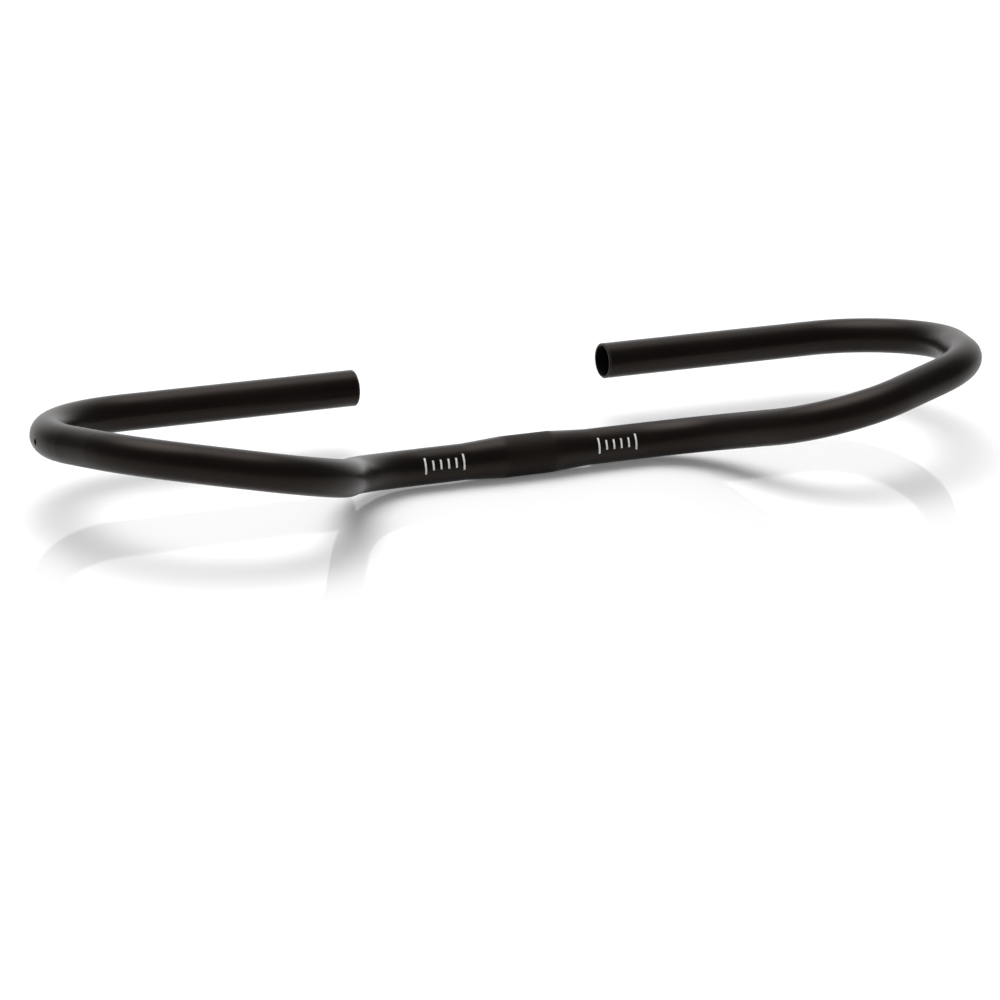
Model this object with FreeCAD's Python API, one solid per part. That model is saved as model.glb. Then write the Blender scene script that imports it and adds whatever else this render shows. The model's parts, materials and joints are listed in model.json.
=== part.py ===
import FreeCAD, Part
import math
import os

# Multi-position handlebar: one bent aluminium tube, wider at the stem clamp, open at both ends.
# Millimetres. Origin at the centre of the stem clamp, +X along it, +Y towards the rider, +Z up.

# Tube
TUBE_DIAMETER = 22.2
WALL = 1.5

# Open ends
RIM_CHAMFER = 0.5
BORE_CHAMFER = 0.3

# Stem clamp, swaged out of the same wall
CLAMP_DIAMETER = 25.4
CLAMP_LENGTH = 32.0
TAPER_LENGTH = 25.0

# Straight runs of one half, from the clamp's centre to the open end
CLAMP_RUN = 71.5
REACH_RUN = 31.0
FRONT_RUN = 35.5
SIDE_RUN = 26.0
GRIP_RUN = 149.5

# Every bend between two runs, on the tube's centre line
BEND_RADIUS = 61.0

# Headings of the runs on the +X half, in degrees: sweep about +Z from +X, then rise
REACH_SWEEP = -62.0
REACH_RISE = 19.0
FRONT_SWEEP = 18.0
FRONT_RISE = 7.0
SIDE_SWEEP = 70.0
SIDE_RISE = -10.0
GRIP_SWEEP = 180.0
GRIP_RISE = 0.0

# Vent hole at the widest point of each side bend
VENT_DIAMETER = 4.0

ORIGIN = FreeCAD.Vector(0, 0, 0)
CLAMP_AXIS = FreeCAD.Vector(1, 0, 0)
FULL_TURN = 360.0
SAME_PLACE = 0.001

tube_radius = TUBE_DIAMETER / 2
bore_radius = tube_radius - WALL
clamp_radius = CLAMP_DIAMETER / 2
seat_end = CLAMP_LENGTH / 2
taper_end = seat_end + TAPER_LENGTH


def heading(sweep, rise):
    """Unit vector of a run."""
    sweep = math.radians(sweep)
    rise = math.radians(rise)
    level = math.cos(rise)
    return FreeCAD.Vector(level * math.cos(sweep), level * math.sin(sweep), math.sin(rise))


def tangent_arc(start, way, next_way):
    """Arc of the bend radius that turns one heading into the next."""
    axis = way.cross(next_way).normalize()
    centre = start + axis.cross(way) * BEND_RADIUS
    angle = math.degrees(way.getAngle(next_way))
    middle = centre + FreeCAD.Rotation(axis, angle / 2).multVec(start - centre)
    end = centre + FreeCAD.Rotation(axis, angle).multVec(start - centre)
    return Part.Arc(start, middle, end).toShape(), end


def centre_line():
    """Edges of one half's centre line and its last point: runs and bends in turn."""
    runs = [
        (CLAMP_RUN - taper_end, CLAMP_AXIS),
        (REACH_RUN, heading(REACH_SWEEP, REACH_RISE)),
        (FRONT_RUN, heading(FRONT_SWEEP, FRONT_RISE)),
        (SIDE_RUN, heading(SIDE_SWEEP, SIDE_RISE)),
        (GRIP_RUN, heading(GRIP_SWEEP, GRIP_RISE)),
    ]
    edges = []
    point = CLAMP_AXIS * taper_end
    way = CLAMP_AXIS
    for length, next_way in runs:
        if edges:
            bend, point = tangent_arc(point, way, next_way)
            edges.append(bend)
        end = point + next_way * length
        edges.append(Part.makeLine(point, end))
        point = end
        way = next_way
    return edges, point


def wall_ring():
    """Section of the tube's wall where the clamp's taper ends."""
    start = CLAMP_AXIS * taper_end
    circles = [Part.Wire(Part.makeCircle(r, start, CLAMP_AXIS)) for r in (tube_radius, bore_radius)]
    return Part.makeFace(circles, "Part::FaceMakerBullseye")


def end_edge(tube, tip, radius):
    """Circular edge of the open end."""
    circles = [edge for edge in tube.Edges if isinstance(edge.Curve, Part.Circle)]
    at_tip = [edge for edge in circles if edge.Curve.Center.isEqual(tip, SAME_PLACE)]
    return min(at_tip, key=lambda edge: abs(edge.Curve.Radius - radius))


def vent_drill(side_bend):
    """Drill from the tube's middle outwards where the side bend stands out furthest."""
    circle = side_bend.Curve
    outwards = (CLAMP_AXIS - circle.Axis * circle.Axis.dot(CLAMP_AXIS)).normalize()
    tube_middle = circle.Center + outwards * BEND_RADIUS
    return Part.makeCylinder(VENT_DIAMETER / 2, TUBE_DIAMETER, tube_middle, outwards)


def half_bar():
    """The +X half beyond the clamp's taper."""
    edges, tip = centre_line()
    tube = Part.Wire(edges).makePipe(wall_ring())
    tube = tube.makeChamfer(RIM_CHAMFER, [end_edge(tube, tip, tube_radius)])
    tube = tube.makeChamfer(BORE_CHAMFER, [end_edge(tube, tip, bore_radius)])
    side_bend = edges[-2]
    return tube.cut(vent_drill(side_bend))


def clamp():
    """Clamp seat with its two straight tapers, the same wall all along."""
    outer = [
        (-taper_end, tube_radius),
        (-seat_end, clamp_radius),
        (seat_end, clamp_radius),
        (taper_end, tube_radius),
    ]
    inner = [(along, radius - WALL) for along, radius in reversed(outer)]
    corners = [FreeCAD.Vector(along, radius, 0) for along, radius in outer + inner]
    outline = Part.makePolygon(corners + corners[:1])
    return Part.Face(outline).revolve(ORIGIN, CLAMP_AXIS, FULL_TURN)


def handlebar():
    """The whole bar: clamp, one half and its mirror image, as one solid."""
    right = half_bar()
    left = right.mirror(ORIGIN, CLAMP_AXIS)
    return clamp().multiFuse([right, left]).removeSplitter().Solids[0]


os.makedirs("parts", exist_ok=True)
handlebar().exportStep("parts/handlebar.step")
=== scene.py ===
"""Looks of a multi-position handlebar: one satin black anodised tube with white centring marks.

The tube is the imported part, dressed here. Metres, in the part's own frame: origin at the centre of the
stem clamp, +X along it, +Y towards the rider, +Z up.
"""

import json
import logging
import math
from dataclasses import dataclass, field
from enum import Enum
from typing import Any, Mapping, Sequence

import bmesh
import bpy
from mathutils import Matrix, Vector


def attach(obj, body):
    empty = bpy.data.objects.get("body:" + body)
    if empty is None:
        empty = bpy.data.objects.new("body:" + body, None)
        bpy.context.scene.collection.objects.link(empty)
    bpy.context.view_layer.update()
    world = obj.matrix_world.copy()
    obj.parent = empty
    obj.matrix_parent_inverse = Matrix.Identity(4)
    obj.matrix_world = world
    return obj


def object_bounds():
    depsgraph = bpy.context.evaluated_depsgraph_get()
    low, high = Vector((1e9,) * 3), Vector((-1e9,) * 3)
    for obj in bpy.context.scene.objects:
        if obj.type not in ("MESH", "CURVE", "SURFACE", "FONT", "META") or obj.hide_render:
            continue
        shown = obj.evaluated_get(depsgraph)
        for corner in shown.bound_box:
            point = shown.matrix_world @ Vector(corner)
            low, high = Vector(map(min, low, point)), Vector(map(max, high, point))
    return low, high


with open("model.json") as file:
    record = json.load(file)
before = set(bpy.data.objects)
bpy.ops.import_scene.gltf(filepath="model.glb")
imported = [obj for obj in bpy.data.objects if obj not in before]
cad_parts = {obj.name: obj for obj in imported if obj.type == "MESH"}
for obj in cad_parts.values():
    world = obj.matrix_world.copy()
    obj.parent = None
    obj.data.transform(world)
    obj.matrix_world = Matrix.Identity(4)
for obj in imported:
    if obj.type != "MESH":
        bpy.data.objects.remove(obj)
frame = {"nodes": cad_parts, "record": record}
cad_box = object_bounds()

LOG = logging.getLogger("handlebar")
MILLIMETRE = 0.001
BODY = "root"

# Noise swings about this value.
NOISE_MIDDLE = 0.5
# A sum of switches, each 0 or 1, is above this where any of them is on.
ANY_ON = 0.5

Colour = tuple[float, float, float]
Direction = tuple[float, float, float]
Point = tuple[float, float, float]
Settings = Mapping[str, Any]
Sockets = Mapping[str | int, Any]


class Side(Enum):
    """The two halves of the bar, by the sign of X."""

    RIGHT = 1
    LEFT = -1


class Tick(Enum):
    """Length of a centring mark round the tube."""

    LONG = 10.0 * MILLIMETRE
    SHORT = 6.0 * MILLIMETRE


class Ray(Enum):
    """Rays by which a surface is seen: straight, in a gloss, and through glass."""

    CAMERA = "Is Camera Ray"
    GLOSSY = "Is Glossy Ray"
    TRANSMISSION = "Is Transmission Ray"


class Signal:
    """A node's output, whose arithmetic adds Math nodes to its board."""

    def __init__(self, board: "Board", socket: bpy.types.NodeSocket) -> None:
        """Keep the socket and the board that it belongs to."""
        self.board = board
        self.socket = socket

    def _math(self, operation: str, *values: "Signal | float") -> "Signal":
        """Add one Math node on the values, in order, and hand on its result."""
        return self.board.node("ShaderNodeMath", {"operation": operation}, dict(enumerate(values)))

    def __add__(self, other: "Signal | float") -> "Signal":
        """Sum."""
        return self._math("ADD", self, other)

    __radd__ = __add__

    def __sub__(self, other: "Signal | float") -> "Signal":
        """Difference."""
        return self._math("SUBTRACT", self, other)

    def __rsub__(self, other: float) -> "Signal":
        """Difference from a number."""
        return self._math("SUBTRACT", other, self)

    def __mul__(self, other: "Signal | float") -> "Signal":
        """Product."""
        return self._math("MULTIPLY", self, other)

    __rmul__ = __mul__

    def __pow__(self, power: float) -> "Signal":
        """Power."""
        return self._math("POWER", self, power)

    def __abs__(self) -> "Signal":
        """Size without its sign."""
        return self._math("ABSOLUTE", self)

    def __lt__(self, limit: "Signal | float") -> "Signal":
        """One below the limit, and zero above it."""
        return self._math("LESS_THAN", self, limit)

    def __gt__(self, limit: "Signal | float") -> "Signal":
        """One above the limit, and zero below it."""
        return self._math("GREATER_THAN", self, limit)


class Board:
    """The node tree of one material or of the world, emptied and built up again."""

    def __init__(self, tree: bpy.types.NodeTree) -> None:
        """Empty the tree."""
        self.tree = tree
        tree.nodes.clear()

    @staticmethod
    def _find(sockets: Sequence[bpy.types.NodeSocket], key: str | int) -> bpy.types.NodeSocket:
        """Pick a socket.

        Args:
            sockets: A node's inputs or outputs.
            key: The socket's place, or its name among those that the node's settings leave on.

        Returns:
            The socket.
        """
        if isinstance(key, int):
            return sockets[key]
        return next(socket for socket in sockets if socket.enabled and socket.name == key)

    def _make(self, kind: str, settings: Settings, sockets: Sockets) -> bpy.types.Node:
        """Add one node.

        Args:
            kind: The node's type.
            settings: Its properties, set before its sockets.
            sockets: A value or a signal for each input that is used.

        Returns:
            The node.
        """
        made = self.tree.nodes.new(kind)
        for name, value in settings.items():
            setattr(made, name, value)
        for key, value in sockets.items():
            socket = self._find(made.inputs, key)
            if isinstance(value, Signal):
                self.tree.links.new(value.socket, socket)
            elif socket.type == "RGBA":
                socket.default_value = (*value, 1.0)
            else:
                socket.default_value = value
        return made

    def node(
        self,
        kind: str,
        settings: Settings | None = None,
        sockets: Sockets | None = None,
        output: str | int = 0,
    ) -> Signal:
        """Add one node by its type, settings and sockets, and hand on one of its outputs."""
        made = self._make(kind, settings or {}, sockets or {})
        return Signal(self, self._find(made.outputs, output))

    def surface(self, shader: Signal, kind: str = "ShaderNodeOutputMaterial") -> None:
        """Show a shader through an output node of the given type."""
        self._make(kind, {}, {"Surface": shader})

    def place(self) -> Signal:
        """Place on the part, in metres."""
        return self.node("ShaderNodeTexCoord", output="Object")

    def along(self, vector: Signal, axis: str) -> Signal:
        """One coordinate of a vector."""
        return self.node("ShaderNodeSeparateXYZ", sockets={"Vector": vector}, output=axis)

    def noise(self, place: Signal, size: float, detail: float = 2.0) -> Signal:
        """Soft noise from 0 to 1, in patches of a size in metres, with octaves of finer detail."""
        sockets = {"Vector": place, "Scale": 1.0 / size, "Detail": detail}
        return self.node("ShaderNodeTexNoise", sockets=sockets, output="Fac")

    def ramp(self, value: Signal, low: float, high: float) -> Signal:
        """Smooth step, from 0 at the low value to 1 at the high one."""
        sockets = {"Value": value, "From Min": low, "From Max": high}
        return self.node("ShaderNodeMapRange", {"interpolation_type": "SMOOTHSTEP"}, sockets)

    def blend(self, share: Signal, first: Signal | Colour, second: Signal | Colour) -> Signal:
        """Mixed colour: the first where the share is 0, and the second where it is 1."""
        sockets = {"Factor": share, "A": first, "B": second}
        return self.node("ShaderNodeMix", {"data_type": "RGBA"}, sockets, "Result")

    def facing(self, way: Signal, towards: Direction) -> Signal:
        """Cosine of the angle between a unit vector and a direction of any length."""
        sockets = {0: way, 1: Vector(towards).normalized()}
        return self.node("ShaderNodeVectorMath", {"operation": "DOT_PRODUCT"}, sockets, "Value")

    def ray(self, kind: Ray) -> Signal:
        """One for rays of this kind, and zero for all others."""
        return self.node("ShaderNodeLightPath", output=kind.value)

    def seen(self) -> Signal:
        """One for the rays by which a surface is seen, and zero for the rays that light dull surfaces."""
        camera, glossy, transmission = (self.ray(kind) for kind in Ray)
        return camera + glossy + transmission > ANY_ON


@dataclass(frozen=True)
class BarSizes:
    """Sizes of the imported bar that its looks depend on, in metres.

    Attributes:
        tube_radius: Outer radius of the tube.
        bore_radius: Inner radius of the tube.
        clamp_half: Half the length of the clamp seat.
        grip_y: Y of the grips' common axis.
        grip_z: Z of the grips' common axis.
        mouth_x: How far the bores' mouths are from the middle of the bar.
        bend_x: How far the inner ends of those straight bores are from the middle of the bar.
    """

    tube_radius: float
    bore_radius: float
    clamp_half: float
    grip_y: float
    grip_z: float
    mouth_x: float
    bend_x: float

    @classmethod
    def read(cls, record: Mapping[str, Any]) -> "BarSizes":
        """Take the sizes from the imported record's mounts.

        Args:
            record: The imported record.

        Returns:
            The sizes.
        """
        mounts = {mount["name"]: mount for mount in record["mounts"]}
        seat = mounts["right_grip_seat"]
        bore = mounts["right_end_bore"]
        clamp = mounts["stem_clamp"]
        bore_half = bore["dims"]["length_mm"] * MILLIMETRE / 2
        return cls(
            tube_radius=seat["dims"]["r_mm"] * MILLIMETRE,
            bore_radius=bore["dims"]["r_mm"] * MILLIMETRE,
            clamp_half=clamp["dims"]["length_mm"] * MILLIMETRE / 2,
            grip_y=seat["pos_m"][1],
            grip_z=seat["pos_m"][2],
            mouth_x=bore["pos_m"][0] - bore_half,
            bend_x=bore["pos_m"][0] + bore_half,
        )


def new_material(name: str) -> tuple[bpy.types.Material, Board]:
    """Start a material.

    Args:
        name: The finish's name.

    Returns:
        The material and its empty board.
    """
    material = bpy.data.materials.new(name)
    material.use_nodes = True
    return material, Board(material.node_tree)


@dataclass(frozen=True)
class SatinAnodise:
    """Black dyed anodising over a finely blasted tube."""

    name: str = "satin_black_anodise"
    dark: Colour = (0.0030, 0.0022, 0.0019)
    pale: Colour = (0.0052, 0.0039, 0.0033)
    rim: Colour = (0.018, 0.016, 0.015)
    bore: Colour = (0.010, 0.009, 0.008)
    cloud_size: float = 45.0 * MILLIMETRE
    cloud_edges: tuple[float, float] = (0.3, 0.7)
    cloud_in_colour: float = 0.7
    fleck_size: float = 1.6 * MILLIMETRE
    fleck_in_gloss: float = 0.6
    grain_size: float = 0.25 * MILLIMETRE
    grain_detail: float = 1.0
    grain_depth: float = 0.006 * MILLIMETRE
    grain_strength: float = 0.6
    roughness: float = 0.36
    roughness_spread: float = 0.08
    seat_roughness: float = 0.62
    seat_grain: float = 2.5
    seat_fade: float = 3.0 * MILLIMETRE
    rim_width: float = 1.2 * MILLIMETRE
    specular: float = 0.21
    tint: Colour = (1.0, 0.82, 0.72)

    def material(self, sizes: BarSizes) -> bpy.types.Material:
        """Build the finish.

        Args:
            sizes: Where the clamp seat, the open ends and the bores are.

        Returns:
            The material.
        """
        material, board = new_material(self.name)
        place = board.place()
        cloud = board.ramp(board.noise(place, self.cloud_size), *self.cloud_edges)
        fleck = board.noise(place, self.fleck_size)
        seat, rim, bore = self._zones(board, place, sizes)
        shade = self.cloud_in_colour * cloud + (1.0 - self.cloud_in_colour) * fleck
        colour = board.blend(shade, self.dark, self.pale)
        colour = board.blend(rim, colour, self.rim)
        colour = board.blend(bore, colour, self.bore)
        patchiness = self.fleck_in_gloss * fleck + (1.0 - self.fleck_in_gloss) * cloud - NOISE_MIDDLE
        roughness = self.roughness + self.roughness_spread * patchiness
        roughness = roughness + seat * (self.seat_roughness - self.roughness)
        shader = board.node(
            "ShaderNodeBsdfPrincipled",
            sockets={
                "Base Color": colour,
                "Roughness": roughness,
                "Specular IOR Level": self.specular,
                "Specular Tint": self.tint,
                "Normal": self._grain(board, place, seat),
            },
        )
        board.surface(shader)
        return material

    def _zones(self, board: Board, place: Signal, sizes: BarSizes) -> tuple[Signal, Signal, Signal]:
        """Mark the zones of the tube that differ from the rest.

        Args:
            board: The finish's board.
            place: The place on the part.
            sizes: Where the clamp seat, the open ends and the bores are.

        Returns:
            Masks of the clamp seat, the cut rims and the end bores, each 1 inside and 0 outside.
        """
        x, y, z = (board.along(place, axis) for axis in "XYZ")
        from_middle = abs(x)
        seat_edges = (sizes.clamp_half - self.seat_fade, sizes.clamp_half + self.seat_fade)
        seat = 1.0 - board.ramp(from_middle, *seat_edges)
        on_grip = y > sizes.grip_y - 2 * sizes.tube_radius
        rim = on_grip * (from_middle < sizes.mouth_x + self.rim_width)
        off_axis = ((y - sizes.grip_y) ** 2.0 + (z - sizes.grip_z) ** 2.0) ** 0.5
        wall_middle = (sizes.tube_radius + sizes.bore_radius) / 2
        bore = on_grip * (off_axis < wall_middle) * (from_middle < sizes.bend_x)
        return seat, rim, bore

    def _grain(self, board: Board, place: Signal, seat: Signal) -> Signal:
        """Roughen the surface with blasted grain, which is deeper on the clamp seat.

        Args:
            board: The finish's board.
            place: The place on the part.
            seat: The clamp seat's mask.

        Returns:
            The bumped normal.
        """
        grain = board.noise(place, self.grain_size, self.grain_detail)
        height = grain * (1.0 + self.seat_grain * seat)
        sockets = {"Strength": self.grain_strength, "Distance": self.grain_depth, "Height": height}
        return board.node("ShaderNodeBump", sockets=sockets)


@dataclass(frozen=True)
class PrintInk:
    """White pad-printing ink."""

    name: str = "white_print"
    full: Colour = (0.92, 0.92, 0.91)
    thin: Colour = (0.80, 0.80, 0.79)
    mottle_size: float = 0.8 * MILLIMETRE
    roughness: float = 0.5
    roughness_spread: float = 0.2

    def material(self) -> bpy.types.Material:
        """Build the finish.

        Returns:
            The material.
        """
        material, board = new_material(self.name)
        mottle = board.noise(board.place(), self.mottle_size)
        shader = board.node(
            "ShaderNodeBsdfPrincipled",
            sockets={
                "Base Color": board.blend(mottle, self.thin, self.full),
                "Roughness": self.roughness + self.roughness_spread * (mottle - NOISE_MIDDLE),
            },
        )
        board.surface(shader)
        return material


@dataclass(frozen=True)
class PaleGloss:
    """Glossy white studio floor."""

    name: str = "pale_gloss_floor"
    colour: Colour = (0.95, 0.95, 0.95)
    glow: float = 0.12
    roughness: float = 0.04
    specular: float = 0.35

    def material(self) -> bpy.types.Material:
        """Build the finish, which glows a little in the rays that see it.

        Returns:
            The material.
        """
        material, board = new_material(self.name)
        dull = (0.0, 0.0, 0.0)
        lit = (self.glow, self.glow, self.glow)
        shader = board.node(
            "ShaderNodeBsdfPrincipled",
            sockets={
                "Base Color": self.colour,
                "Roughness": self.roughness,
                "Specular IOR Level": self.specular,
                "Emission Color": board.blend(board.seen(), dull, lit),
                "Emission Strength": 1.0,
            },
        )
        board.surface(shader)
        return material


@dataclass
class CentringMarks:
    """White ticks printed beside the stem clamp, by which a stem is set in the middle."""

    sizes: BarSizes
    ink: PrintInk = field(default_factory=PrintInk)
    first: float = 45.0 * MILLIMETRE
    pitch: float = 5.0 * MILLIMETRE
    pattern: tuple[Tick, ...] = (Tick.LONG, Tick.SHORT, Tick.SHORT, Tick.SHORT, Tick.SHORT, Tick.LONG)
    width: float = 1.2 * MILLIMETRE
    rise_deg: float = 22.0
    proud: float = 0.04 * MILLIMETRE
    sunk: float = 0.25 * MILLIMETRE
    steps: int = 12

    def build(self, side: Side) -> bpy.types.Object:
        """Print the ticks of one side.

        Args:
            side: Which half of the bar.

        Returns:
            The printed ticks, riding on the bar.
        """
        mesh = bmesh.new()
        for number, tick in enumerate(self.pattern):
            self._tick(mesh, side.value * (self.first + number * self.pitch), tick.value)
        bmesh.ops.recalc_face_normals(mesh, faces=mesh.faces)
        name = f"centring_marks_{side.name.lower()}"
        data = bpy.data.meshes.new(name)
        mesh.to_mesh(data)
        mesh.free()
        data.materials.append(self.ink.material())
        piece = bpy.data.objects.new(name, data)
        bpy.context.scene.collection.objects.link(piece)
        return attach(piece, BODY)

    def _tick(self, mesh: bmesh.types.BMesh, middle: float, length: float) -> None:
        """Add one closed pad that follows the tube.

        Args:
            mesh: The mesh that takes it.
            middle: Its place along the clamp's axis.
            length: Its length round the tube.
        """
        turn = length / self.sizes.tube_radius
        start = math.radians(self.rise_deg) - turn / 2
        radii = (self.sizes.tube_radius - self.sunk, self.sizes.tube_radius + self.proud)
        # Each corner of the pad's section: its side along the bar, and its radius of the two above.
        corners = [(-1, 0), (1, 0), (1, 1), (-1, 1)]
        rings = []
        for step in range(self.steps + 1):
            angle = start + turn * step / self.steps
            ring = []
            for across, layer in corners:
                x = middle + across * self.width / 2
                y = -radii[layer] * math.cos(angle)
                z = radii[layer] * math.sin(angle)
                ring.append(mesh.verts.new((x, y, z)))
            rings.append(ring)
        for ring, after in zip(rings, rings[1:]):
            for corner in range(len(corners)):
                beside = (corner + 1) % len(corners)
                mesh.faces.new((ring[corner], ring[beside], after[beside], after[corner]))
        mesh.faces.new(rings[0])
        mesh.faces.new(rings[-1])


@dataclass
class Tube:
    """The bent tube itself, as packed."""

    sizes: BarSizes
    finish: SatinAnodise = field(default_factory=SatinAnodise)
    node: str = "handlebar"

    def dress(self) -> bpy.types.Object:
        """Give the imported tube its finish.

        Returns:
            The tube.
        """
        tube = frame["nodes"][self.node]
        tube.material_slots[0].material = self.finish.material(self.sizes)
        return tube


@dataclass(frozen=True)
class SoftPatch:
    """A bright patch of the surroundings, which fades out towards its edge."""

    towards: Direction
    strength: float
    edge_deg: float

    def level(self, board: Board, way: Signal) -> Signal:
        """Brightness of the patch in the direction that is looked in."""
        edge = math.cos(math.radians(self.edge_deg))
        return self.strength * board.ramp(board.facing(way, self.towards), edge, 1.0)


@dataclass
class Studio:
    """White floor, a softbox overhead and behind, a broad fill light and a white backdrop."""

    floor_finish: PaleGloss = field(default_factory=PaleGloss)
    floor_half: float = 12.0
    fill_from: Direction = (0.1, 0.0, 1.0)
    fill_strength: float = 0.55
    fill_angle_deg: float = 150.0
    white: Colour = (1.0, 1.0, 1.0)
    room: float = 0.18
    softbox: SoftPatch = SoftPatch((-0.04, 0.26, 0.97), 4.4, 35.0)
    backdrop: SoftPatch = SoftPatch((0.37, 0.93, 0.06), 1.2, 66.0)

    def build(self) -> None:
        """Set up the floor, the fill light and the surroundings."""
        self._floor()
        self._fill_light()
        self._surroundings()

    def _floor(self) -> None:
        """Lay the floor under the lowest point of the part."""
        half = self.floor_half
        low = cad_box[0].z
        corners = [(-half, -half, low), (half, -half, low), (half, half, low), (-half, half, low)]
        data = bpy.data.meshes.new("floor")
        data.from_pydata(corners, [], [range(len(corners))])
        data.materials.append(self.floor_finish.material())
        floor = bpy.data.objects.new("floor", data)
        bpy.context.scene.collection.objects.link(floor)

    def _fill_light(self) -> None:
        """Hang the fill light, which softens the shadows and doesn't show in the gloss."""
        lamp = bpy.data.lights.new("fill_light", "SUN")
        lamp.energy = self.fill_strength
        lamp.angle = math.radians(self.fill_angle_deg)
        light = bpy.data.objects.new("fill_light", lamp)
        light.rotation_mode = "QUATERNION"
        light.rotation_quaternion = Vector(self.fill_from).to_track_quat("Z", "Y")
        light.visible_glossy = False
        bpy.context.scene.collection.objects.link(light)

    def _surroundings(self) -> None:
        """Make a dim room with the softbox, and the backdrop for the rays that see it.

        The camera's own rays see plain white behind the floor.
        """
        world = bpy.data.worlds.new("studio")
        world.use_nodes = True
        board = Board(world.node_tree)
        way = board.node("ShaderNodeTexCoord", output="Generated")
        light = self.room + self.softbox.level(board, way)
        level = light + self.backdrop.level(board, way) * board.seen()
        colour = board.blend(board.ray(Ray.CAMERA), level, self.white)
        shader = board.node("ShaderNodeBackground", sockets={"Color": colour, "Strength": 1.0})
        board.surface(shader, "ShaderNodeOutputWorld")
        bpy.context.scene.world = world


@dataclass(frozen=True)
class PhotoCamera:
    """Camera at the photograph's viewing angle, for a square picture."""

    aim: Point = (-0.01687, -0.00341, -0.02642)
    azimuth_deg: float = 25.42
    elevation_deg: float = 21.35
    roll_deg: float = -2.76
    distance: float = 2.23564
    lens_mm: float = 132.78
    sensor_mm: float = 36.0

    def build(self) -> None:
        """Place the camera and make it the scene's own."""
        azimuth = math.radians(self.azimuth_deg)
        elevation = math.radians(self.elevation_deg)
        level = math.cos(elevation)
        ahead = Vector((math.sin(azimuth) * level, math.cos(azimuth) * level, -math.sin(elevation)))
        right = Vector((math.cos(azimuth), -math.sin(azimuth), 0.0))
        up = right.cross(ahead)
        upright = Matrix((right, up, -ahead)).transposed()
        turned = upright @ Matrix.Rotation(math.radians(-self.roll_deg), 3, "Z")
        stand = Vector(self.aim) - ahead * self.distance
        data = bpy.data.cameras.new("photo_camera")
        data.sensor_width = self.sensor_mm
        data.lens = self.lens_mm
        camera = bpy.data.objects.new("photo_camera", data)
        camera.matrix_world = Matrix.Translation(stand) @ turned.to_4x4()
        bpy.context.scene.collection.objects.link(camera)
        bpy.context.scene.camera = camera


def main() -> None:
    """Dress the bar and set it in its studio."""
    logging.basicConfig(level=logging.INFO)
    bpy.context.scene.view_settings.view_transform = "Standard"
    sizes = BarSizes.read(frame["record"])
    LOG.info("dressed %s", Tube(sizes).dress().name)
    marks = CentringMarks(sizes)
    for side in Side:
        LOG.info("printed %s", marks.build(side).name)
    Studio().build()
    PhotoCamera().build()


if __name__ == "__main__":
    main()
